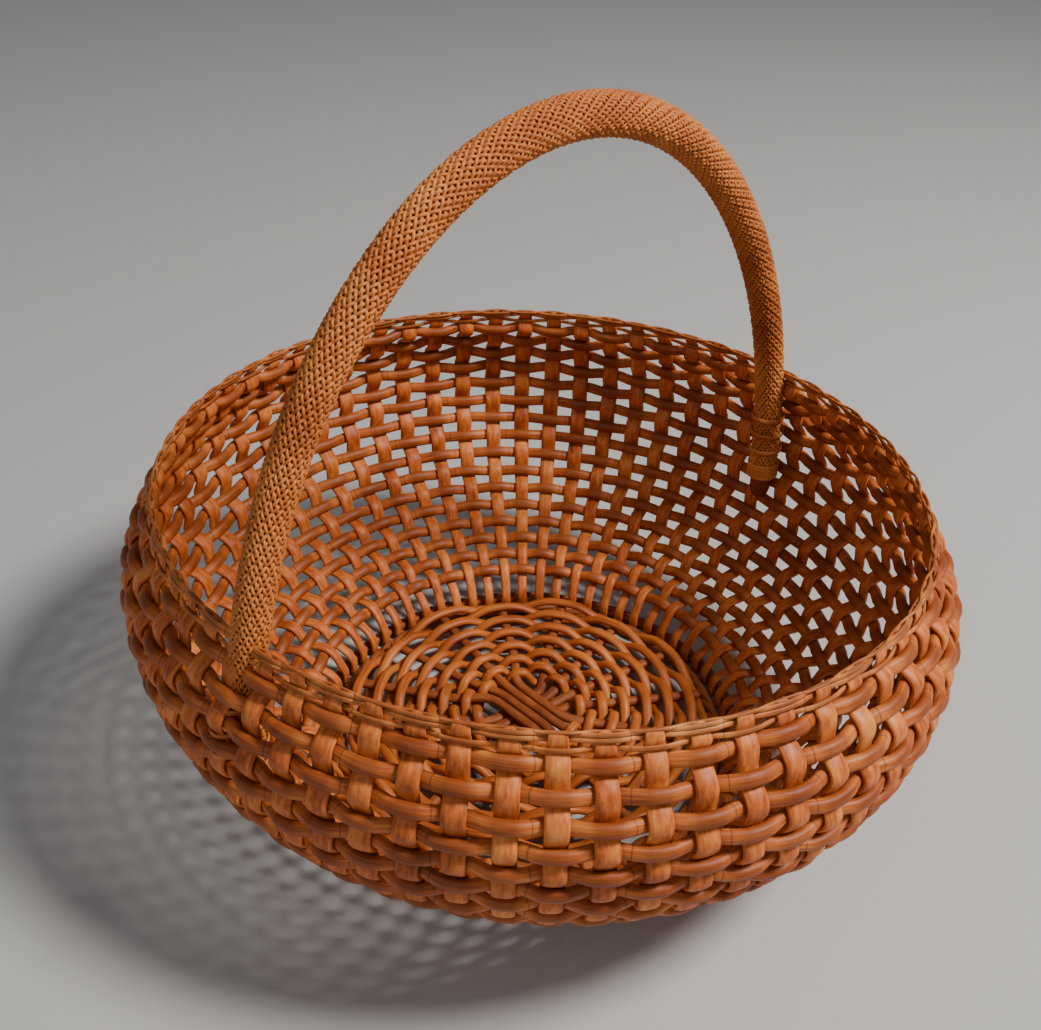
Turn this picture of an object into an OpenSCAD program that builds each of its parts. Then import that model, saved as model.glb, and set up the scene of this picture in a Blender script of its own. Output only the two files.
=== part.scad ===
// Round woven cane fruit basket with a fixed hoop handle.
// Millimetres, +Z up. The origin is the centre of the standing edge, on the table.
// The handle's plane runs along X. The wall is described by its middle line, a curve
// of radius against height, and by the distance s along that line, measured down from
// the rim binding.

/* [Wall] */
// Radius of the wall's middle line at the rim binding
rim_r = 135.5; // [130:0.5:138]
// Height of the rim binding above the table
rim_z = 119; // [114:1:126]
// How far the stake tips stand above the rim binding
tip_h = 6; // [5:0.5:8]
// Radius of the wall's middle line at its widest
belly_r = 146; // [143:0.5:150]
// Height of the widest place
belly_z = 88; // [84:1:92]
// Radius of the wall's middle line where it meets the foot
heel_r = 80; // [78:0.5:84]
// Height below the widest place at which the bowl's curve would close
bowl_depth = 88; // [86:1:92]
// Fullness of the bowl below its widest place, where 2 is an ellipse
bowl_power = 2.1; // [2:0.05:2.4]
// Fullness of the shoulder above the widest place
shoulder_power = 1.8; // [1.5:0.1:2.2]

/* [Weave] */
// Number of stakes, twice an odd number
stake_n = 66; // [58:4:66]
// Width of a stake
stake_w = 6.2; // [5:0.1:6.4]
// Thickness of a stake
stake_t = 2.2; // [1.8:0.1:2.4]
// Turn of the first stake from the handle's plane, as a share of the stake spacing
stake_phase = 0.66; // [0.6:0.01:0.7]
// Distance from one row of weaving to the next, along the wall
row_pitch = 8.4; // [8.4:0.1:9]
// Distance from the rim binding to the first row
first_row = 5.3; // [5.2:0.1:6]
// Diameter of a weaver
weaver_d = 4.6; // [4:0.1:4.6]
// Diameter of a reed in the rim binding
reed_d = 1.4; // [1:0.1:1.6]
// Distance between two reeds of the rim binding, along the wall
reed_pitch = 3; // [2:0.5:4]

/* [Base] */
// Sticks in each direction of the base cross
cross_n = 4; // [4:1:4]
// Width of a base stick
stick_w = 4; // [3:0.1:4.2]
// Thickness of a base stick
stick_h = 3.4; // [3:0.1:3.6]
// Distance between neighbouring sticks in the cross
stick_pitch = 4.4; // [4.3:0.1:5]
// Diameter of a round of base weaving
round_d = 3.8; // [3:0.1:4]
// Distance between neighbouring rounds
round_pitch = 4.5; // [4.2:0.1:5]
// Number of rounds
round_n = 12; // [8:1:12]
// Radius of the first round
round_r = 21; // [20:0.5:22]
// Height of the layer of rounds above the table
round_z = 9; // [8:0.5:10]
// Diameter of the two foot wales that the basket stands on
foot_d = 5.6; // [5:0.1:6]

/* [Handle] */
// Half the distance between the legs, centre to centre
hoop_half_w = 129.5; // [126:0.5:130]
// Height of the place where the legs stand upright
hoop_spring_z = 72; // [70:1:76]
// Height of the hoop's centre line above that place
hoop_rise = 176; // [160:1:190]
// Distance of the hoop's plane from the centre of the basket
hoop_shift = 8; // [0:1:10]
// Diameter over the braided sleeve at the top of the hoop
sleeve_top_d = 14.6; // [13:0.2:16]
// Diameter over the braided sleeve at its lower ends
sleeve_foot_d = 11.4; // [11:0.2:13]
// Thickness of the braid round the core
braid_t = 1.4; // [1.2:0.1:1.8]
// Height of the sleeve's lower ends
sleeve_end_z = 72; // [72:1:76]
// Height of the core's lower ends
core_end_z = 60; // [58:1:64]

/* [Hidden] */
// Air left between neighbouring pieces
gap = 0.15;
// Number of sides given to round shapes
$fn = 96;
stake_step = 360 / stake_n;
// The wall's middle line as points, and its length, radius and height tables
LINE = middle_line();
ARC = running_sum(LINE);
R_AT = [for (i = [0:len(LINE) - 1]) [ARC[i], LINE[i][0]]];
Z_AT = [for (i = [0:len(LINE) - 1]) [ARC[i], LINE[i][1]]];
// Rows of weaving between the rim and the foot
rows = floor((arc_end() - arc_rim() - first_row - weaver_d / 2 - 1) / row_pitch) + 1;
// Radial travel of a stake from the middle line to its crest
crest = weaver_d / 2 + stake_t / 2 + gap;
// Half the length of the straight stretch of stake at a crest
crest_half = weaver_d / 2 + 0.3;
// Radial distance of the rim reeds from the middle line
reed_off = stake_t / 2 + reed_d / 2 + gap;
// Distance of the lowest rim reed above the binding line
reed_lift = 0.5;
// Rings along the hoop, and sides round the core and the sleeve
hoop_rings = 44;
core_sides = 12;
sleeve_sides = 16;
// Length of a sleeve binding and the wall of it
binding_h = 8;
binding_t = 0.7;
// Rows of weaving that have a lashing just below them, and the cane it is made of
lash_rows = [2, 3, 4];
lash_h = 2;
lash_t = 1;
// Reach of a lashing round the stake it grips
lash_grip = 4;
// Half the length of the base cross's straight part, and of the pad under its upper sticks
cross_half = 15;
cross_pad = 10;
tan_cane = "#C4713A";
pale_cane = "#CE7C42";
dark_cane = "#A9602F";

// ---- The wall's middle line ----

function shoulder_r(z) = belly_r - (belly_r - rim_r)
    * pow(max(z - belly_z, 0) / (rim_z - belly_z), shoulder_power);

function bowl_point(t) = [belly_r * pow(cos(t), 2 / bowl_power),
    belly_z - bowl_depth * pow(sin(t), 2 / bowl_power)];

function middle_line(up = 24, down = 90) =
    let (top_z = rim_z + tip_h, last = acos(pow(heel_r / belly_r, bowl_power / 2)))
    concat(
        [for (i = [0:up]) let (z = top_z + (belly_z - top_z) * i / up) [shoulder_r(z), z]],
        [for (i = [1:down]) bowl_point(last * i / down)]
    );

function running_sum(p) =
    [for (i = 0, s = 0; i < len(p); s = s + norm(p[min(i + 1, len(p) - 1)] - p[i]), i = i + 1) s];

function arc_end() = ARC[len(ARC) - 1];
function arc_rim() = lookup(rim_z, [for (i = [0:len(LINE) - 1]) [LINE[i][1], ARC[i]]]);

function on_line(s) = [lookup(s + arc_rim(), R_AT), lookup(s + arc_rim(), Z_AT)];
function along(s) = let (d = on_line(s + 0.5) - on_line(s - 0.5)) d / norm(d);
// Outward normal of the middle line
function outward(s) = let (d = along(s)) [-d[1], d[0]];
function wall_point(s, out = 0) = on_line(s) + out * outward(s);

function row_s(k) = first_row + (k - 1) * row_pitch;

// ---- Shared shapes ----

module hoop(r, z, d) {
    translate([0, 0, z]) rotate_extrude() translate([r, 0]) circle(d = d);
}

// ---- Stakes: flat cane that passes outside and inside the rows by turns ----

function stake_path(first_side) = concat(
    [wall_point(-tip_h), wall_point(1.3)],
    [for (k = [1:rows], e = [-1, 1])
        wall_point(row_s(k) + e * crest_half, (k % 2 == 1 ? 1 : -1) * first_side * crest)],
    [[heel_r, foot_d + 4], [heel_r, 1]]
);

function unit(v) = v / norm(v);
function left_of(v) = [-v[1], v[0]];

// Mitred offset of point i of path p by distance d to the left
function beside(p, i, d) =
    let (
        a = left_of(unit(p[min(i + 1, len(p) - 1)] - p[min(i, len(p) - 2)])),
        b = left_of(unit(p[max(i, 1)] - p[max(i - 1, 0)]))
    )
    p[i] + d * (a + b) / (1 + a * b);

module stake(first_side) {
    p = stake_path(first_side);
    n = len(p) - 1;
    rotate([90, 0, 0]) linear_extrude(height = stake_w, center = true)
        polygon(concat(
            [for (i = [0:n]) beside(p, i, stake_t / 2)],
            [for (i = [n:-1:0]) beside(p, i, -stake_t / 2)]
        ));
}

module stakes(first, first_side) {
    color(pale_cane)
        for (j = [first:2:stake_n - 1]) rotate([0, 0, (j + stake_phase) * stake_step]) stake(first_side);
}

module stakes_odd() stakes(1, 1);
module stakes_even() stakes(0, -1);

// ---- Rows of weaving ----

module weaver_row(k) {
    p = wall_point(row_s(k));
    color(tan_cane) hoop(p[0], p[1], weaver_d);
}

// ---- Rim binding: fine reeds inside and outside the stake tips ----

module rim_reed(out, up) {
    p = wall_point(-reed_lift - up * reed_pitch, out * reed_off);
    color(pale_cane) hoop(p[0], p[1], reed_d);
}

module rim_reed_outer_low() rim_reed(1, 0);
module rim_reed_outer_high() rim_reed(1, 1);
module rim_reed_inner_low() rim_reed(-1, 0);
module rim_reed_inner_high() rim_reed(-1, 1);

// ---- Base: a cross of sticks that open into spokes, under and over the rounds ----

lower_stick_z = round_z - round_d / 2 - stick_h - gap;
upper_stick_z = round_z + round_d / 2 + gap;
stick_end_r = round_r + (round_n - 1) * round_pitch + 1.5;

// Outline of stick number i of the cross, which lies along X and opens at both ends
module stick_outline(i) {
    side = i - (cross_n - 1) / 2;
    y = side * stick_pitch;
    a = side * 90 / cross_n;
    tip = stick_end_r * [cos(a), sin(a)];
    p = [tip, [cross_half, y], [-cross_half, y], [-tip[0], tip[1]]];
    polygon(concat(
        [for (j = [0:3]) beside(p, j, stick_w / 2)],
        [for (j = [3:-1:0]) beside(p, j, -stick_w / 2)]
    ));
}

module base_sticks_lower() {
    color(tan_cane) translate([0, 0, lower_stick_z])
        for (i = [0:cross_n - 1]) linear_extrude(height = stick_h) stick_outline(i);
}

// The upper sticks are left thick at the cross, where they lie on the lower ones
module base_sticks_upper() {
    pad_z = lower_stick_z + stick_h + gap;
    color(tan_cane) rotate([0, 0, 90])
        for (i = [0:cross_n - 1]) {
            translate([0, 0, upper_stick_z]) linear_extrude(height = stick_h) stick_outline(i);
            translate([-cross_pad, (i - (cross_n - 1) / 2) * stick_pitch - stick_w / 2, pad_z])
                cube([2 * cross_pad, stick_w, upper_stick_z - pad_z]);
        }
}

module base_round(i) {
    color(dark_cane) hoop(round_r + (i - 1) * round_pitch, round_z, round_d);
}

// ---- Foot: two wales that grip the stakes' lower ends, with a flat underside ----

foot_flat = 0.6;
foot_off = stake_t / 2 + foot_d / 2 + gap;

module foot_wale(r) {
    color(dark_cane) rotate_extrude() difference() {
        translate([r, foot_d / 2 - foot_flat]) circle(d = foot_d);
        translate([r - foot_d, -foot_d]) square([2 * foot_d, foot_d]);
    }
}

module foot_wale_inner() foot_wale(heel_r - foot_off);
module foot_wale_outer() foot_wale(heel_r + foot_off);

// ---- Handle: half an ellipse, carried on below its widest place ----

// Share of the turn at which the hoop's centre line is at height z
function hoop_turn(z) = asin((z - hoop_spring_z) / hoop_rise);
function leg_x(z) = hoop_half_w * cos(hoop_turn(z));
function hoop_point(t) = [hoop_half_w * cos(t), -hoop_shift, hoop_spring_z + hoop_rise * sin(t)];
// Outward direction across the hoop, in its plane
function hoop_out(t) = let (v = [hoop_rise * cos(t), 0, hoop_half_w * sin(t)]) v / norm(v);

function ring_points(t, r, sides) =
    [for (i = [0:sides - 1]) let (a = 360 * i / sides)
        hoop_point(t) + r * (cos(a) * hoop_out(t) + sin(a) * [0, 1, 0])];

// Quads between ring j and the next, with their first point at index base
function ring_faces(j, sides, base) =
    [for (i = [0:sides - 1]) let (k = (i + 1) % sides, p = base + j * sides, q = p + sides)
        [p + i, q + i, q + k, p + k]];

function reversed(f) = [for (i = [len(f) - 1:-1:0]) f[i]];

// Diameter over the sleeve at turn t: full at the top and slimmer at the feet
function sleeve_d(t) = sleeve_foot_d + (sleeve_top_d - sleeve_foot_d) * pow(max(sin(t), 0), 2);

function bore_r(t) = sleeve_d(t) / 2 - braid_t;
// Turns of the hoop's rings, from height end_z on one side to the same height on the other
function ring_turns(end_z) =
    let (low = hoop_turn(end_z)) [for (j = [0:hoop_rings]) low + (180 - 2 * low) * j / hoop_rings];

module handle_core() {
    n = core_sides;
    points = [for (t = ring_turns(core_end_z)) each ring_points(t, bore_r(t) - 2 * gap, n)];
    first = [for (i = [0:n - 1]) i];
    last = [for (i = [n - 1:-1:0]) hoop_rings * n + i];
    color(dark_cane) polyhedron(points, concat(
        [first], [last], [for (j = [0:hoop_rings - 1]) each ring_faces(j, n, 0)]
    ));
}

// The sleeve is a tube: an outer skin, an inner skin, and a ring of quads at each end
module handle_sleeve() {
    turns = ring_turns(sleeve_end_z);
    n = sleeve_sides;
    inner = (hoop_rings + 1) * n;
    points = concat(
        [for (t = turns) each ring_points(t, sleeve_d(t) / 2, n)],
        [for (t = turns) each ring_points(t, bore_r(t), n)]
    );
    color(tan_cane) polyhedron(points, concat(
        [for (j = [0:hoop_rings - 1]) each ring_faces(j, n, 0)],
        [for (j = [0:hoop_rings - 1], f = ring_faces(j, n, inner)) reversed(f)],
        [for (i = [0:n - 1]) let (k = (i + 1) % n) [i, k, inner + k, inner + i]],
        [for (i = [0:n - 1]) let (k = (i + 1) % n, e = hoop_rings * n)
            [e + k, e + i, inner + e + i, inner + e + k]]
    ));
}

module both_legs() {
    for (m = [0, 1]) mirror([m, 0, 0]) children();
}

module handle_bindings() {
    bore = sleeve_foot_d + 4 * gap;
    color(dark_cane) both_legs()
        translate([leg_x(sleeve_end_z), -hoop_shift, sleeve_end_z]) difference() {
            cylinder(h = binding_h, d = bore + 2 * binding_t);
            translate([0, 0, -1]) cylinder(h = binding_h + 2, d = bore);
        }
}

function arc_points(c, r, a0, a1, n = 16) =
    [for (i = [0:n]) let (a = a0 + (a1 - a0) * i / n) c + r * [cos(a), sin(a)]];

// Outline of a band round a circle of radius ra at a and one of radius rb at b
function band_points(a, ra, b, rb) =
    let (v = b - a, turn = atan2(v[1], v[0]), lean = acos((ra - rb) / norm(v)))
    concat(arc_points(a, ra, turn + lean, turn + 360 - lean), arc_points(b, rb, turn - lean, turn + lean));

// One turn of cane round the leg and stake number j, below row k
module lashing(k, j, side) {
    p = wall_point(row_s(k) + row_pitch / 2);
    a = (j + stake_phase) * stake_step;
    leg = [side * leg_x(p[1]), -hoop_shift];
    stake_xy = p[0] * [cos(a), sin(a)];
    leg_r = sleeve_d(hoop_turn(p[1])) / 2 + 2 * gap;
    translate([0, 0, p[1]]) linear_extrude(height = lash_h, center = true) difference() {
        polygon(band_points(leg, leg_r + lash_t, stake_xy, lash_grip + lash_t));
        polygon(band_points(leg, leg_r, stake_xy, lash_grip));
    }
}

module handle_lashings() {
    color(dark_cane) for (k = lash_rows) {
        lashing(k, -1, 1);
        lashing(k, stake_n / 2, -1);
    }
}

base_sticks_lower();
base_sticks_upper();
for (i = [1:round_n]) base_round(i);
foot_wale_inner();
foot_wale_outer();
stakes_odd();
stakes_even();
for (k = [1:rows]) weaver_row(k);
rim_reed_inner_low();
rim_reed_inner_high();
rim_reed_outer_low();
rim_reed_outer_high();
handle_core();
handle_sleeve();
handle_bindings();
handle_lashings();
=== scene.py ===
import math
import random

import bpy
import numpy as np
from mathutils import Matrix, Vector


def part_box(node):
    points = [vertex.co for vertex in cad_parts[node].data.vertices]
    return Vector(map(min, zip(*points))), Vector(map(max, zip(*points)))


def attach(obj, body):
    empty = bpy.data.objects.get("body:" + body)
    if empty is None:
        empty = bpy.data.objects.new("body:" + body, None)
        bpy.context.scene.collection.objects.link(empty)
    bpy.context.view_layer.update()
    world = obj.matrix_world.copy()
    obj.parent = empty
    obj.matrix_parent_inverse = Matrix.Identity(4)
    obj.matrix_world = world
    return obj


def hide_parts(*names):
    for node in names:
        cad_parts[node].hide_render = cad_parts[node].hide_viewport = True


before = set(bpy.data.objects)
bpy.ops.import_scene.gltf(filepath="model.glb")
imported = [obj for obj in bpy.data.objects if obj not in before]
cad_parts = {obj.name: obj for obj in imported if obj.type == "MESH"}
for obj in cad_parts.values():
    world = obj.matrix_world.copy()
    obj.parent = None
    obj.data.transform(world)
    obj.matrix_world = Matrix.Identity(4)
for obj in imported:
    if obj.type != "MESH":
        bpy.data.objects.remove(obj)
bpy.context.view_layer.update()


# ---- Base cross ----
# Eight split rattan rods: four lie over four, and their free ends open out as sixteen
# spokes. The rods are riven, so the grain runs along them and the surface is dry.

def pick_nothing():
    if bpy.context.object and bpy.context.object.mode != "OBJECT":
        bpy.ops.object.mode_set(mode="OBJECT")
    bpy.ops.object.select_all(action="DESELECT")


def box_mm(node):
    """Lowest and highest corner of a CAD node, in millimetres."""
    low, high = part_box(node)
    return np.array(low) * 1000, np.array(high) * 1000


def new_rod(name, rings, sides):
    """A closed rod of unit size, with the share of its length and the angle round it of each vertex."""
    pick_nothing()
    bpy.ops.mesh.primitive_uv_sphere_add(segments=sides, ring_count=rings, radius=1)
    piece = bpy.context.object
    piece.name = name
    piece.data.name = name
    at = np.empty(len(piece.data.vertices) * 3)
    piece.data.vertices.foreach_get("co", at)
    at = at.reshape(-1, 3)
    share = np.arccos(np.clip(-at[:, 2], -1, 1)) / math.pi
    angle = np.arctan2(at[:, 1], at[:, 0])
    return piece, share, angle


def new_ring(name, rings, sides):
    """A closed ring of unit size, with the share of its turn and the angle round it of each vertex."""
    pick_nothing()
    bpy.ops.mesh.primitive_torus_add(
        major_segments=rings, minor_segments=sides, major_radius=2, minor_radius=1)
    piece = bpy.context.object
    piece.name = name
    piece.data.name = name
    at = np.empty(len(piece.data.vertices) * 3)
    piece.data.vertices.foreach_get("co", at)
    at = at.reshape(-1, 3)
    share = (np.arctan2(at[:, 1], at[:, 0]) / (2 * math.pi)) % 1
    angle = np.arctan2(at[:, 2], np.hypot(at[:, 0], at[:, 1]) - 2)
    return piece, share, angle


def unit(v):
    return v / np.maximum(np.linalg.norm(v, axis=-1, keepdims=True), 1e-9)


# The share of a rod's length that its rounded end takes up, and how blunt that end is
end_share = 0.004
end_power = 0.35


def lay(piece, share, angle, middle, outward, half_w, half_t, square=2.3, closed=False):
    """Moves a unit rod's or ring's vertices to a section of half_w by half_t about a middle line.

    middle and outward give, for each share of the length, a point in mm and a direction.
    square is 2 for an ellipse, and more for a section with fuller corners."""
    step = 1e-4
    ends = (share + step) % 1 if closed else np.clip(share + step, 0, 1)
    starts = (share - step) % 1 if closed else np.clip(share - step, 0, 1)
    centre = middle(share)
    along = unit(middle(ends) - middle(starts))
    out = outward(share)
    out = unit(out - along * np.sum(out * along, axis=1, keepdims=True))
    side = np.cross(out, along)
    if closed:
        size = np.ones_like(share)
    else:
        # The first and last rings close in, as a cut cane's rounded ends do
        size = np.clip(np.minimum(share, 1 - share) / end_share, 0, 1) ** end_power
    c, s = np.cos(angle), np.sin(angle)
    wide = half_w * size * np.sign(c) * np.abs(c) ** (2 / square)
    thick = half_t * size * np.sign(s) * np.abs(s) ** (2 / square)
    at = centre + side * wide[:, None] + out * thick[:, None]
    piece.data.vertices.foreach_set("co", (at / 1000).ravel())
    piece.data.update()


def upward(share):
    return np.tile([0.0, 0.0, 1.0], (len(share), 1))


def map_cane(piece, length, girth, start):
    """Turns the primitive's own UV map into millimetres along and round the cane.

    start shifts the map, so that canes side by side show different stretches of grain."""
    uv = piece.data.uv_layers.active.data
    at = np.empty(len(uv) * 2)
    uv.foreach_get("uv", at)
    at = at.reshape(-1, 2)
    if len(piece.data.polygons[0].vertices) == 3:
        at = at[:, ::-1]
    at = at * (length, girth) + (start, start * 0.37)
    uv.foreach_set("uv", at.ravel())


def join(pieces, name):
    pick_nothing()
    for piece in pieces:
        piece.select_set(True)
    bpy.context.view_layer.objects.active = pieces[0]
    bpy.ops.object.join()
    whole = bpy.context.object
    whole.name = name
    whole.data.name = name
    return whole


def face_out(piece):
    """Turns every face of the mesh outwards, and smooths it."""
    pick_nothing()
    piece.select_set(True)
    bpy.context.view_layer.objects.active = piece
    bpy.ops.object.mode_set(mode="EDIT")
    bpy.ops.mesh.select_all(action="SELECT")
    bpy.ops.mesh.normals_make_consistent(inside=False)
    bpy.ops.object.mode_set(mode="OBJECT")
    bpy.ops.object.shade_smooth()


def linear(hex_colour):
    """An sRGB hex colour as linear RGBA."""
    parts = [int(hex_colour[i:i + 2], 16) / 255 for i in (0, 2, 4)]
    return [p / 12.92 if p <= 0.04045 else ((p + 0.055) / 1.055) ** 2.4 for p in parts] + [1]


def node(tree, kind, inputs=None, **settings):
    """Adds a node with its settings, and links or values on its inputs."""
    new = tree.nodes.new(kind)
    for name, value in settings.items():
        setattr(new, name, value)
    for name, value in (inputs or {}).items():
        if isinstance(value, bpy.types.NodeSocket):
            tree.links.new(value, new.inputs[name])
        else:
            new.inputs[name].default_value = value
    return new


seam_brown = "3A1606"


def cane(name, deep, body, light, roughness, fibre, relief, seam=0.0):
    """Split rattan cane, dyed and lightly lacquered: fibres run along it, with dark pores between.

    fibre is the width of a fibre bundle in mm, relief the height of the fibres in mm, and
    seam the width in mm of the line at each splice, on canes that have a map of splices."""
    made = bpy.data.materials.new(name)
    made.use_nodes = True
    tree = made.node_tree
    tree.nodes.clear()
    uv = node(tree, "ShaderNodeUVMap").outputs[0]

    def along(width, stretch, detail):
        scale = (1 / (width * stretch), 1 / width, 1)
        placed = node(tree, "ShaderNodeMapping", {"Vector": uv, "Scale": scale})
        return node(tree, "ShaderNodeTexNoise", {
            "Vector": placed.outputs[0], "Scale": 1.0, "Detail": detail, "Roughness": 0.6}).outputs["Fac"]

    fibres = along(fibre, 28, 3)
    bands = along(fibre * 4, 16, 2)
    where = node(tree, "ShaderNodeTexCoord").outputs["Object"]
    blotch = node(tree, "ShaderNodeTexNoise", {"Vector": where, "Scale": 45.0, "Detail": 3.0}).outputs["Fac"]
    tone = node(tree, "ShaderNodeMix", {
        "Factor": 0.45, "A": fibres, "B": bands}, data_type="FLOAT").outputs[0]
    tone = node(tree, "ShaderNodeMix", {
        "Factor": 0.35, "A": tone, "B": blotch}, data_type="FLOAT").outputs[0]
    ramp = node(tree, "ShaderNodeValToRGB", {"Fac": tone})
    ramp.color_ramp.elements[0].position = 0.37
    ramp.color_ramp.elements[0].color = linear(deep)
    ramp.color_ramp.elements[1].position = 0.63
    ramp.color_ramp.elements[1].color = linear(light)
    middle = ramp.color_ramp.elements.new(0.5)
    middle.color = linear(body)
    colour = ramp.outputs["Color"]
    if seam:
        # The map's X counts half-splices round the row, and its Y is the millimetres in each
        splices = node(tree, "ShaderNodeUVMap", uv_map="splices").outputs[0]
        split = node(tree, "ShaderNodeSeparateXYZ", {"Vector": splices})
        away = node(tree, "ShaderNodeMath", {0: split.outputs["X"], 1: 1.0}, operation="PINGPONG").outputs[0]
        away = node(tree, "ShaderNodeMath", {0: away, 1: split.outputs["Y"]}, operation="MULTIPLY").outputs[0]
        line = node(tree, "ShaderNodeMapRange", {
            "Value": away, "From Min": 0.0, "From Max": seam, "To Min": 0.7, "To Max": 0.0})
        # Painted shade: the cane is darkened beside each stake that it crosses, where shade falls at the
        # crossing
        near = node(tree, "ShaderNodeMath", {0: split.outputs["X"], 1: 0.5}, operation="PINGPONG").outputs[0]
        painted_crossing_shade = node(tree, "ShaderNodeMapRange", {
            "Value": near, "From Min": 0.08, "From Max": 0.3, "To Min": 0.0, "To Max": 0.6})
        colour = node(tree, "ShaderNodeMix", {
            "Factor": painted_crossing_shade.outputs[0], "A": colour, "B": linear(deep)}, data_type="RGBA").outputs[2]
        colour = node(tree, "ShaderNodeMix", {
            "Factor": line.outputs[0], "A": colour, "B": linear(seam_brown)}, data_type="RGBA").outputs[2]
    bump = node(tree, "ShaderNodeBump", {
        "Height": fibres, "Distance": relief / 1000, "Strength": 1.0})
    shader = node(tree, "ShaderNodeBsdfPrincipled", {
        "Base Color": colour, "Normal": bump.outputs[0], "Roughness": roughness, "IOR": 1.48,
        "Specular IOR Level": 0.36})
    node(tree, "ShaderNodeOutputMaterial", {"Surface": shader.outputs[0]})
    return made


def dress(piece, material, slot, *nodes):
    """Gives a piece its material and its body, and hides the CAD nodes that it stands for."""
    piece.data.materials.clear()
    piece.data.materials.append(material)
    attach(piece, "root")
    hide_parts(*nodes)


# Split rattan rod, dyed and hardly lacquered: duller, with pores that show as dark lines
riven_rod = cane("riven_rattan_rod", "5E2A10", "8A451C", "A65C2B", 0.6, 0.5, 0.06)
spoke_n = 16
spoke_step = 2 * math.pi / spoke_n
stick_pitch = 4.4
stick_lift = 1.7
stick_girth = 12
stick_bend = 6
# Distances from the middle at which a stick leaves its neighbours, and at which it is fanned out
stick_leaves = 15
stick_fanned = 30
rod_half_w = 2.0
rod_half_t = 1.6
round_low, round_high = box_mm("base_round_1")
base_mid_z = (round_low[2] + round_high[2]) / 2
stick_reach = box_mm("base_sticks_lower")[1][0]


def bent_line(corners, roundness):
    """A smooth path through corner points, as a function of the share of its length."""
    corners = np.array(corners, float)
    points = [corners[0]]
    for before, corner, after in zip(corners, corners[1:], corners[2:]):
        into = corner + (before - corner) * min(roundness / np.linalg.norm(before - corner), 0.5)
        away = corner + (after - corner) * min(roundness / np.linalg.norm(after - corner), 0.5)
        for t in np.linspace(0, 1, 9):
            points.append((1 - t) ** 2 * into + 2 * t * (1 - t) * corner + t * t * away)
    points.append(corners[-1])
    points = np.array(points)
    run = np.concatenate([[0], np.cumsum(np.linalg.norm(np.diff(points, axis=0), axis=1))])

    def path(share):
        return np.stack([np.interp(share * run[-1], run, points[:, i]) for i in range(3)], axis=1)

    return path, run[-1]


def base_stick(name, number, level, turned):
    side = number - 1.5
    fan = side * spoke_step
    y = side * stick_pitch
    reach = stick_reach / math.cos(0.5 * spoke_step)
    tip = [reach * math.cos(fan), reach * math.sin(fan), base_mid_z]
    fanned = [stick_fanned * math.cos(fan), stick_fanned * math.sin(fan), base_mid_z]
    half = [tip, fanned, [stick_leaves, y, base_mid_z + level]]
    corners = half + [[-x, y2, z] for x, y2, z in reversed(half)]
    if turned:
        corners = [[-y2, x, z] for x, y2, z in corners]
    path, length = bent_line(corners, stick_bend)
    stick, share, angle = new_rod(name, 90, 10)
    lay(stick, share, angle, path, upward, rod_half_w, rod_half_t, 2.4)
    map_cane(stick, length, stick_girth, number * 31 + 7 * level)
    return stick


for cross, level, turned in (
        ("base_sticks_lower", -stick_lift, False), ("base_sticks_upper", stick_lift, True)):
    sticks = join([base_stick(f"stick_{i}", i, level, turned) for i in range(4)], "cross_" + cross)
    face_out(sticks)
    dress(sticks, riven_rod, "rattan_rod", cross)


# ---- Base rounds ----
# Twelve rounds of cane, each woven over one spoke and under the next, and each round
# the other way about from its neighbours. They fill the base out to the foot.

# Dyed and lacquered cane: a soft shine, and fine lines along it
weaving_cane = cane("lacquered_weaving_cane", "75330F", "AE581F", "CC7832", 0.48, 0.42, 0.05)
round_n = 12
round_half_h = 1.45
round_half_w = 2.05
round_girth = 11
# How far a round sinks into the spokes that it is pulled down on
round_squeeze = 0.1


def flat_wave(turns):
    """A wave that lies flat on its crests, one crest each way in a turn."""
    return (np.cos(turns) - 0.1 * np.cos(3 * turns)) / 0.9


def base_round(number):
    low, high = box_mm(f"base_round_{number}")
    radius = (high[0] - low[0] - (high[2] - low[2])) / 2
    side = 1 if number % 2 else -1
    lift = rod_half_t + round_half_h - round_squeeze

    def middle(share):
        a = share * 2 * math.pi
        z = base_mid_z + side * lift * flat_wave((a - spoke_step / 2) / spoke_step * math.pi)
        return np.stack([radius * np.cos(a), radius * np.sin(a), z], axis=1)

    piece, share, angle = new_ring(f"round_{number}", spoke_n * 12, 10)
    lay(piece, share, angle, middle, upward, round_half_w, round_half_h, 2.2, closed=True)
    map_cane(piece, 2 * math.pi * radius, round_girth, number * 53)
    face_out(piece)
    dress(piece, weaving_cane, "weaving_cane", f"base_round_{number}")


for number in range(1, round_n + 1):
    base_round(number)


# ---- Foot wales ----
# Two wales of three rods each, twisted round one another, grip the stakes between them.
# The basket stands on their undersides.

# Thin round rattan rods, dyed: a little dull, and darker than the cane above them
foot_rod = cane("twisted_rattan_rod", "5C280F", "92491D", "B0622F", 0.55, 0.45, 0.06)


wale_rod_n = 3
wale_girth = 9
# The twisted rods bulge past the CAD's ring by this much, and each has this share of the girth
wale_bulge = 0.3
wale_rod_share = 0.53


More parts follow.
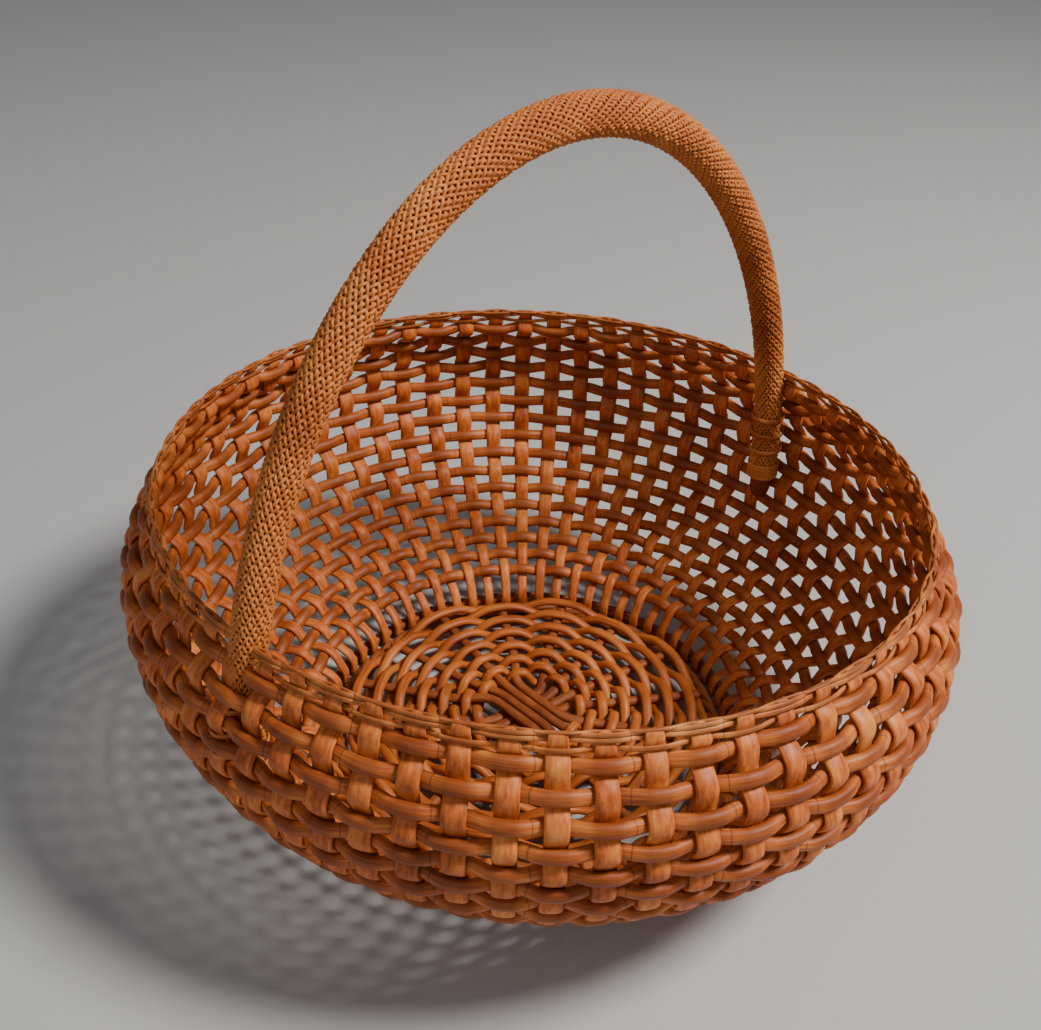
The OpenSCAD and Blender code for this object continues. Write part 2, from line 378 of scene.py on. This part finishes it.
def foot_wale(node_name, turns):
    low, high = box_mm(node_name)
    girth_r = (high[2] - low[2]) / 2 + wale_bulge
    radius = (high[0] - low[0]) / 2 - girth_r
    rod_r = girth_r * wale_rod_share
    rods = []
    for i in range(wale_rod_n):
        def middle(share, i=i):
            a = share * 2 * math.pi
            twist = turns * a + i * 2 * math.pi / wale_rod_n
            r = radius + (girth_r - rod_r) * np.cos(twist)
            z = low[2] + girth_r + (girth_r - rod_r) * np.sin(twist)
            return np.stack([r * np.cos(a), r * np.sin(a), z], axis=1)

        rod, share, angle = new_ring(f"wale_rod_{i}", turns * 14, 9)
        lay(rod, share, angle, middle, upward, rod_r, rod_r, 2, closed=True)
        map_cane(rod, 2 * math.pi * radius, wale_girth, i * 77)
        rods.append(rod)
    wale = join(rods, "twisted_" + node_name)
    face_out(wale)
    dress(wale, foot_rod, "rattan_rod", node_name)


foot_wale("foot_wale_outer", 22)
foot_wale("foot_wale_inner", 20)


# ---- Side stakes ----
# Sixty-six flat canes with a crowned face. Each rises from the foot to the rim, passing
# outside one row of weaving and inside the next, and its neighbours do the opposite.

# Flat cane, dyed and lacquered: paler than the rows, so the stakes stand out from them
stake_cane = cane("lacquered_stake_cane", "833910", "C26228", "E28D42", 0.5, 0.4, 0.06)
stake_n = 66
stake_step = 2 * math.pi / stake_n
stake_phase = 0.8
stake_half_t = 1.1
stake_swing = 1.7
stake_girth = 16
# Half a stake's width as a share of the space between stakes, and the most that it may be
stake_share = 0.262
stake_half_w = 3.6
# A stake is thinned towards its tip
tip_half_t = 0.5
rim_half_t = 0.6
# How far, in radians, a stake strays from its even place
stray = 0.0012
# How much narrower the bowl is along the handle than across it, as a share of its mean
draw_in = 0.0286
row_names = sorted(
    (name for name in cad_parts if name.startswith("weaver_row_")), key=lambda n: int(n.split("_")[-1]))
row_n = len(row_names)


def ring_centre(node_name):
    """Radius and height of a CAD ring's middle line."""
    low, high = box_mm(node_name)
    thick = high[2] - low[2]
    return (high[0] - low[0] - thick) / 2, (high[2] + low[2]) / 2


rim_low = (np.array(ring_centre("rim_reed_outer_low")) + ring_centre("rim_reed_inner_low")) / 2
rim_high = (np.array(ring_centre("rim_reed_outer_high")) + ring_centre("rim_reed_inner_high")) / 2
# The wall closes in sooner below the rim than the CAD's rings do, and its tips stand more upright
rim_low[0] += 0.1
rim_high[0] += 0.7
shoulder_in = [1.7, 0.7]
heel_r = (ring_centre("foot_wale_outer")[0] + ring_centre("foot_wale_inner")[0]) / 2
knots = [rim_high + (rim_high - rim_low), rim_high, rim_low] + [np.array(ring_centre(n)) for n in row_names]
knots += [np.array([heel_r + 0.4, 8.5]), np.array([heel_r, 1.2])]
for k, inset in enumerate(shoulder_in):
    knots[3 + k][0] -= inset


def smooth_through(points, steps=24):
    """A Catmull-Rom curve through the points, and the run of length at each of them."""
    padded = np.vstack([2 * points[0] - points[1], points, 2 * points[-1] - points[-2]])
    made = []
    for a, b, c, d in zip(padded, padded[1:], padded[2:], padded[3:]):
        t = np.linspace(0, 1, steps, endpoint=False)[:, None]
        made.append(0.5 * (2 * b + (c - a) * t + (2 * a - 5 * b + 4 * c - d) * t * t
                           + (3 * b - a - 3 * c + d) * t ** 3))
    made = np.vstack(made + [points[-1][None]])
    run = np.concatenate([[0], np.cumsum(np.linalg.norm(np.diff(made, axis=0), axis=1))])
    return made, run, run[::steps]


wall_line, wall_run, knot_run = smooth_through(np.array(knots))
rim_s = knot_run[2] + 0.5
row_s = knot_run[3:3 + row_n]
tip_s = rim_s - 5.6
tail_s = knot_run[-1]


def wall(s):
    """Radius and height of the wall's middle line, and its outward normal, at run s."""
    r, z = (np.interp(s, wall_run, wall_line[:, i]) for i in (0, 1))
    r2, z2 = (np.interp(s + 0.6, wall_run, wall_line[:, i]) for i in (0, 1))
    r1, z1 = (np.interp(s - 0.6, wall_run, wall_line[:, i]) for i in (0, 1))
    along = unit(np.stack([r2 - r1, z2 - z1], axis=-1))
    return r, z, -along[..., 1], along[..., 0]


def on_wall(a, s, off):
    """A point at azimuth a and run s, off the middle line by off, with the bowl's oval put on."""
    r, z, nr, nz = wall(s)
    r = r + off * nr
    z = z + off * nz
    r = r * (1 - draw_in * np.clip(z / 60, 0, 1) * np.cos(2 * a))
    return np.stack([r * np.cos(a), r * np.sin(a), z], axis=-1)


def wall_out(a, s):
    nr, nz = wall(s)[2:]
    return np.stack([nr * np.cos(a), nr * np.sin(a), nz], axis=-1)


def eased(s, stations):
    """A level that eases from one station to the next, each a run and a level."""
    at = np.array([x for x, _ in stations])
    level = np.array([y for _, y in stations])
    i = np.clip(np.searchsorted(at, s) - 1, 0, len(at) - 2)
    t = np.clip((s - at[i]) / (at[i + 1] - at[i]), 0, 1)
    return level[i] + (level[i + 1] - level[i]) * (1 - np.cos(math.pi * t)) / 2


reed_runs = {"top": rim_s - 5.0, "high": rim_s - 4.4, "mid": rim_s - 2.85, "low": rim_s}
rim_swing = 0.6
tip_swing = 0.2


def stake(number):
    """Odd stakes lie outside the first row of weaving, and even stakes inside it."""
    side = 1 if number % 2 else -1
    stations = [(tip_s, side * tip_swing), (reed_runs["high"], side * rim_swing),
                (reed_runs["mid"], side * rim_swing), (reed_runs["low"], -side * rim_swing)]
    stations += [(row_s[k], side * (1 if k % 2 == 0 else -1) * stake_swing) for k in range(row_n)]
    stations += [(knot_run[-2], 0.0), (tail_s, 0.0)]
    chance = random.Random(100 + number)
    azimuth = (number + stake_phase) * stake_step + chance.uniform(-stray, stray)
    sway = chance.uniform(0, 6.28)
    length = tail_s - tip_s

    def run(share):
        return tip_s + share * length

    def middle(share):
        s = run(share)
        a = azimuth + stray * np.sin(s / 17 + sway)
        return on_wall(a, s, eased(s, stations))

    def outward(share):
        return wall_out(np.full_like(share, azimuth), run(share))

    piece, share, angle = new_rod(f"stake_{number}", 150, 12)
    s = run(share)
    pitch = wall(s)[0] * stake_step
    half_w = np.minimum(stake_share * pitch, stake_half_w) * (1 + 0.02 * np.sin(s / 9 + sway))
    half_w *= np.interp(s, [tip_s, rim_s - 2.5, rim_s + 1.5], [0.78, 0.86, 1])
    half_t = np.interp(s, [tip_s, reed_runs["low"], row_s[0]], [tip_half_t, rim_half_t, stake_half_t])
    lay(piece, share, angle, middle, outward, half_w, half_t, 2.4)
    map_cane(piece, length, stake_girth, number * 41)
    return piece


for name, first in (("stakes_odd", 1), ("stakes_even", 0)):
    group = join([stake(number) for number in range(first, stake_n, 2)], "cane_" + name)
    face_out(group)
    dress(group, stake_cane, "stake_cane", name)


# ---- Rows of weaving ----
# Thick cane, one closed row above another. A row goes over one stake and behind the
# next, and its lengths meet end to end between every second pair of stakes.

weaver_half_h = 2.4
weaver_half_t = 1.95
weaver_swing = 1.35
weaver_girth = 13
# Dyed and lacquered cane: a soft shine, fine lines along it, a dark line at each splice, and painted shade
# beside each stake that it crosses
wall_cane = cane("lacquered_wall_cane", "75330F", "B35A21", "D6803A", 0.5, 0.36, 0.06, seam=0.3)


def map_splices(piece, share, radius):
    """A second UV map: half-splices counted round the row, and the millimetres in each."""
    corner = np.empty(len(piece.data.loops), int)
    piece.data.loops.foreach_get("vertex_index", corner)
    at = share[corner].reshape(-1, 4)
    at = np.where(at.max(axis=1, keepdims=True) - at > 0.5, at + 1, at).ravel()
    count = at * stake_n - stake_phase - 0.5
    layer = piece.data.uv_layers.new(name="splices", do_init=False)
    layer.data.foreach_set("uv", np.stack([count, np.full_like(count, radius * stake_step)], axis=1).ravel())


def weaver_row(k):
    """Row k passes inside the stakes that stand outside it, and drifts a little up and down."""
    side = 1 if k % 2 == 0 else -1
    chance = random.Random(500 + k)
    drift = [(chance.uniform(0.05, 0.16), chance.randint(2, 9), chance.uniform(0, 6.28)) for _ in range(3)]

    def where(share):
        a = share * 2 * math.pi
        number = a / stake_step - stake_phase
        off = side * weaver_swing * flat_wave(number * math.pi)
        s = row_s[k] + sum(size * np.sin(n * a + p) for size, n, p in drift)
        return a, s, off

    def middle(share):
        a, s, off = where(share)
        return on_wall(a, s, off)

    def outward(share):
        a, s, _ = where(share)
        return wall_out(a, s)

    piece, share, angle = new_ring(f"wall_row_{k + 1}", stake_n * 8, 12)
    lay(piece, share, angle, middle, outward, weaver_half_h, weaver_half_t, 2.2, closed=True)
    map_cane(piece, 2 * math.pi * wall(row_s[k])[0], weaver_girth, k * 67)
    map_splices(piece, share, wall(row_s[k])[0])
    face_out(piece)
    dress(piece, wall_cane, "weaving_cane", row_names[k])


for k in range(row_n):
    weaver_row(k)


# ---- Rim reeds ----
# Four fine reeds are woven through the stake tips in place of a border. Three lie close
# together at the top edge, and the fourth holds the tips a little lower.

reed_girth = 5
# How much further than the stake tips the reeds swing
reed_more_swing = 0.15
# Fine flat reed, dyed and lacquered: about as pale as the stakes, with a finer grain, a dark line at each
# splice, and painted shade beside each stake that it crosses
reed_cane = cane("fine_rim_reed", "7E3C14", "C06A2D", "E09550", 0.5, 0.3, 0.04, seam=0.25)


def rim_reed(node_name, run_at, side, half_h, half_t):
    def where(share):
        a = share * 2 * math.pi
        number = a / stake_step - stake_phase
        off = side * (rim_swing + reed_more_swing) * flat_wave(number * math.pi)
        return a, np.full_like(a, run_at), off

    def middle(share):
        return on_wall(*where(share))

    def outward(share):
        a, s, _ = where(share)
        return wall_out(a, s)

    piece, share, angle = new_ring("reed_" + node_name, stake_n * 8, 8)
    lay(piece, share, angle, middle, outward, half_h, half_t, 3.2, closed=True)
    radius = wall(np.array(run_at))[0]
    map_cane(piece, 2 * math.pi * radius, reed_girth, 90 + run_at)
    map_splices(piece, share, radius)
    face_out(piece)
    dress(piece, reed_cane, "rim_reed", node_name)


rim_reed("rim_reed_outer_low", reed_runs["low"], -1, 0.82, 0.48)
rim_reed("rim_reed_outer_high", reed_runs["mid"], 1, 0.8, 0.48)
rim_reed("rim_reed_inner_high", reed_runs["high"], 1, 0.76, 0.48)
rim_reed("rim_reed_inner_low", reed_runs["top"], -1, 0.5, 0.42)


# ---- Handle core ----
# A thick rattan rod, steamed and bent to half an ellipse. Its ends go down inside the
# wall, and the braid hides the rest.

core_low, core_high = box_mm("handle_core")
sleeve_low, sleeve_high = box_mm("handle_sleeve")
hoop_y = (core_low[1] + core_high[1]) / 2
hoop_spring_z = 72.0
hoop_rise = (core_high[2] + sleeve_high[2]) / 2 - hoop_spring_z
hoop_rise -= (sleeve_high[1] - sleeve_low[1] + core_high[1] - core_low[1]) / 4
hoop_half_w = 130.4
sleeve_top_r = (sleeve_high[1] - sleeve_low[1]) / 2
sleeve_foot_r = 6.0
braid_t = 1.55
# The -X leg is eased out a little, until it stands in the thickness of the rim
flare_top_z = 178.0
flare_low_z = 124.0
flare_out = (-2.4, -3.6)


def hoop_line(turn):
    x, z = hoop_half_w * np.cos(turn), hoop_spring_z + hoop_rise * np.sin(turn)
    ease = np.clip((flare_top_z - z) / (flare_top_z - flare_low_z), 0, 1) * (x < 0)
    ease = ease * ease * (3 - 2 * ease)
    return np.stack([x + flare_out[0] * ease, hoop_y + flare_out[1] * ease, z], axis=-1)


def leg_at(side, z):
    """The middle of the leg on one side at height z."""
    turn = np.arcsin((z - hoop_spring_z) / hoop_rise)
    return hoop_line(turn if side > 0 else math.pi - turn)


def hoop_frame(end_z):
    """The hoop's middle line by share of its length, from a leg's end at +X to the same height at -X."""
    low = math.asin((end_z - hoop_spring_z) / hoop_rise)
    turn = np.linspace(low, math.pi - low, 721)
    run = np.concatenate([[0], np.cumsum(np.linalg.norm(np.diff(hoop_line(turn), axis=0), axis=1))])

    def at(share):
        t = np.interp(share * run[-1], run, turn)
        point = hoop_line(t)
        out = unit(np.stack([hoop_rise * np.cos(t), 0 * t, hoop_half_w * np.sin(t)], axis=-1))
        radius = sleeve_foot_r + (sleeve_top_r - sleeve_foot_r) * np.clip(np.sin(t), 0, 1) ** 2
        return point, out, radius

    return at, run[-1]


# The core is pared down over this length at each end, to this share of its thickness
core_taper = 7
core_tip = 0.6
core_girth = 34
core_at, core_length = hoop_frame(core_low[2])
core, share, angle = new_rod("core_rod", 160, 20)
core_r = core_at(share)[2] - braid_t
core_r *= np.interp(np.minimum(share, 1 - share) * core_length, [0, core_taper], [core_tip, 1])
lay(core, share, angle, lambda s: core_at(s)[0], lambda s: core_at(s)[1], core_r, core_r, 2)
map_cane(core, core_length, core_girth, 3)
face_out(core)
# A rattan rod that shows only between the canes of the braid: quite dull, and darkened with painted shade
# from the braid over it
core_cane = cane("rattan_core_painted_shade", "5E280B", "7E3C15", "9A5224", 0.7, 0.6, 0.05)
dress(core, core_cane, "rattan_rod", "handle_core")


# ---- Handle sleeve ----
# Twenty-one fine canes wind each way round the core and pass over and under one another,
# as a tube is braided. The canes are nearly round, and the core shows between them.

# Fine cane, dyed and lacquered: about as pale as the stakes, with the finest grain
braid_cane = cane("fine_braid_cane", "843E13", "C06B2D", "E2974F", 0.5, 0.25, 0.03)
braid_n = 21
braid_lead = 64.0
strand_half_t = 0.46
strand_swing = 0.36
strand_girth = 4
# Half a strand's width as a share of the space between strands
strand_share = 0.3
# Depth of the strands' middle lines below the sleeve's surface
strand_depth = 0.84
across = np.array([0.0, 1.0, 0.0])
sleeve_at, sleeve_length = hoop_frame(sleeve_low[2])
crossings = round(sleeve_length / braid_lead * 2 * braid_n)
turns_in_all = crossings / (2 * braid_n)
strand_length = 1.2 * sleeve_length


def strand(number, hand):
    first = number / braid_n * 2 * math.pi

    def spin(share):
        return first + hand * turns_in_all * 2 * math.pi * share

    def middle(share):
        point, out, radius = sleeve_at(share)
        a = spin(share)
        # A right-hand and a left-hand cane pass over and under only if both their numbers are
        # odd or both are even. The others meet at one depth, and cut into each other
        r = radius - strand_depth + hand * strand_swing * np.cos(math.pi * (share * crossings + number))
        return point + (out * np.cos(a)[:, None] + across * np.sin(a)[:, None]) * r[:, None]

    def outward(share):
        _, out, _ = sleeve_at(share)
        a = spin(share)
        return out * np.cos(a)[:, None] + across * np.sin(a)[:, None]

    piece, share, angle = new_rod(f"strand_{number}", crossings * 3, 6)
    pitch = 2 * math.pi * (sleeve_at(share)[2] - strand_depth) / braid_n
    lay(piece, share, angle, middle, outward, strand_share * pitch, strand_half_t, 2)
    map_cane(piece, strand_length, strand_girth, number * 29)
    return piece


for name, hand in (("left", -1), ("right", 1)):
    for half, begin in (("even", 0), ("odd", 1)):
        strands = [strand(number, hand) for number in range(begin, braid_n, 2)]
        canes = join(strands, f"braid_{name}_hand_{half}")
        face_out(canes)
        dress(canes, braid_cane, "braid_cane", "handle_sleeve")


# ---- Sleeve bindings ----
# Fine cane is wound seven times round each end of the braid, so that it can't fray.

wraps = 7
band = 0.55
band_half_t = 0.4
band_girth = 3
wrap_length = 41
# The bindings lie this far out from the ends of the braid
band_out = 0.25
low, high = box_mm("handle_bindings")
for name, side in (("front", -1), ("back", 1)):
    def middle(share):
        a = share * wraps * 2 * math.pi
        z = low[2] + band + share * (high[2] - low[2] - 2 * band)
        r = sleeve_foot_r + band_out
        return leg_at(side, z) + r * np.stack([np.cos(a), np.sin(a), 0 * a], axis=1)

    def outward(share):
        a = share * wraps * 2 * math.pi
        return np.stack([np.cos(a), np.sin(a), 0 * a], axis=1)

    binding, share, angle = new_rod(f"binding_{name}", wraps * 32, 8)
    lay(binding, share, angle, middle, outward, band, band_half_t, 2)
    map_cane(binding, wraps * wrap_length, band_girth, 11 + side)
    face_out(binding)
    dress(binding, braid_cane, "braid_cane", "handle_bindings")


# ---- Handle lashings ----
# Three turns of flat cane tie each leg to the stake behind it. They lie in the spaces
# between rows of weaving, so they hardly show from outside.

tie_half_h = 0.95
tie_half_t = 0.4
tie_length = 60
tie_girth = 4
# A tie lies this far outside the leg, and goes round a circle that holds the stake, of this
# radius and with its middle this far inside the wall's
tie_leg_out = 0.55
tie_post_r = 4.0
tie_post_in = 2.2


def lashing(k, number, side):
    s = (row_s[k] + row_s[k + 1]) / 2
    azimuth = (number + stake_phase) * stake_step
    post = on_wall(np.array([azimuth]), np.array([s]), -tie_post_in)[0]
    z = post[2]
    leg = leg_at(side, z)[:2]
    leg_r = sleeve_foot_r + tie_leg_out

    def hug(share):
        a = share * 2 * math.pi
        way = np.stack([np.cos(a), np.sin(a)], axis=1)
        leg_far = way @ leg + leg_r
        post_far = way @ post[:2] + tie_post_r
        round_leg = (leg_far > post_far)[:, None]
        return np.where(round_leg, leg + way * leg_r, post[:2] + way * tie_post_r), way

    def middle(share):
        return np.column_stack([hug(share)[0], np.full(len(share), z)])

    def outward(share):
        return np.column_stack([hug(share)[1], np.zeros(len(share))])

    piece, share, angle = new_ring(f"tie_{k}", 72, 8)
    lay(piece, share, angle, middle, outward, tie_half_h, tie_half_t, 2.6, closed=True)
    map_cane(piece, tie_length, tie_girth, k * 13)
    return piece


# The stake that stands behind each leg, and the side that the leg is on
tied = ((-1, 1), (stake_n // 2, -1))
ties = [lashing(k, number, side) for k in (1, 2, 3) for number, side in tied]
ties = join(ties, "leg_ties")
face_out(ties)
# Narrow flat cane, dyed and lacquered: as pale as the rim reeds, and with the same grain
tie_cane = cane("flat_tie_cane", "7E3C14", "C06A2D", "E09550", 0.5, 0.3, 0.04)
dress(ties, tie_cane, "rim_reed", "handle_lashings")


# ---- Floor, light and camera ----
# A plain pale floor, a soft light from the right and above, a weaker and larger one
# from the front and left, and a dim sky.

pick_nothing()
bpy.ops.mesh.primitive_plane_add(size=12)
floor = bpy.context.object
floor.name = "floor"
# Uncoated paper: pale grey, with hardly any shine
paper = bpy.data.materials.new("pale_paper")
paper.use_nodes = True
paper_shader = paper.node_tree.nodes["Principled BSDF"]
paper_shader.inputs["Base Color"].default_value = linear("B9B8B6")
paper_shader.inputs["Roughness"].default_value = 0.9
floor.data.materials.append(paper)

# The camera looks down from the front, turned from the handle's plane. Its distance is
# counted in radii of the rim
rim_radius = 0.1363
view_turn = math.radians(-45.4)
turn_view = Matrix.Rotation(view_turn, 3, "Z")
target = Vector((0, 0, 0.119))


def soft_light(name, azimuth, elevation, distance, size, power, colour):
    a, e = math.radians(azimuth), math.radians(elevation)
    place = turn_view @ Vector((math.cos(a) * math.cos(e), math.sin(a) * math.cos(e), math.sin(e))) * distance
    light = bpy.data.lights.new(name, "AREA")
    light.shape = "DISK"
    light.size = size
    light.energy = power
    light.color = colour
    lamp = bpy.data.objects.new(name, light)
    lamp.location = target + place
    lamp.rotation_euler = (-place).to_track_quat("-Z", "Y").to_euler()
    bpy.context.scene.collection.objects.link(lamp)


soft_light("key", -15, 52, 1.6, 0.4, 36, (1.0, 0.96, 0.91))
soft_light("fill", -120, 35, 2.0, 1.6, 6, (0.95, 0.97, 1.0))

sky = bpy.data.worlds.new("studio")
sky.use_nodes = True
sky.node_tree.nodes["Background"].inputs["Color"].default_value = linear("D8DADD")
sky.node_tree.nodes["Background"].inputs["Strength"].default_value = 0.24
bpy.context.scene.world = sky

camera_data = bpy.data.cameras.new("camera")
camera_data.sensor_width = 36
camera_data.lens = 43.07
camera_data.clip_start = 0.01
camera = bpy.data.objects.new("camera", camera_data)
distance = 3.251 * rim_radius
height_a, pitch, yaw, roll = (math.radians(v) for v in (31.65, 33.3, -0.83, 1.65))
place = Vector((0, -distance * math.cos(height_a), distance * math.sin(height_a)))
ahead = Vector((math.sin(yaw) * math.cos(pitch), math.cos(yaw) * math.cos(pitch), -math.sin(pitch)))
right = Vector((math.cos(yaw), -math.sin(yaw), 0))
up = right.cross(ahead)
right, up = right * math.cos(roll) + up * math.sin(roll), up * math.cos(roll) - right * math.sin(roll)
turned = [turn_view @ v for v in (right, up, -ahead)]
camera.matrix_world = Matrix.Translation(turn_view @ place + target) @ Matrix(turned).transposed().to_4x4()
bpy.context.scene.collection.objects.link(camera)
bpy.context.scene.camera = camera
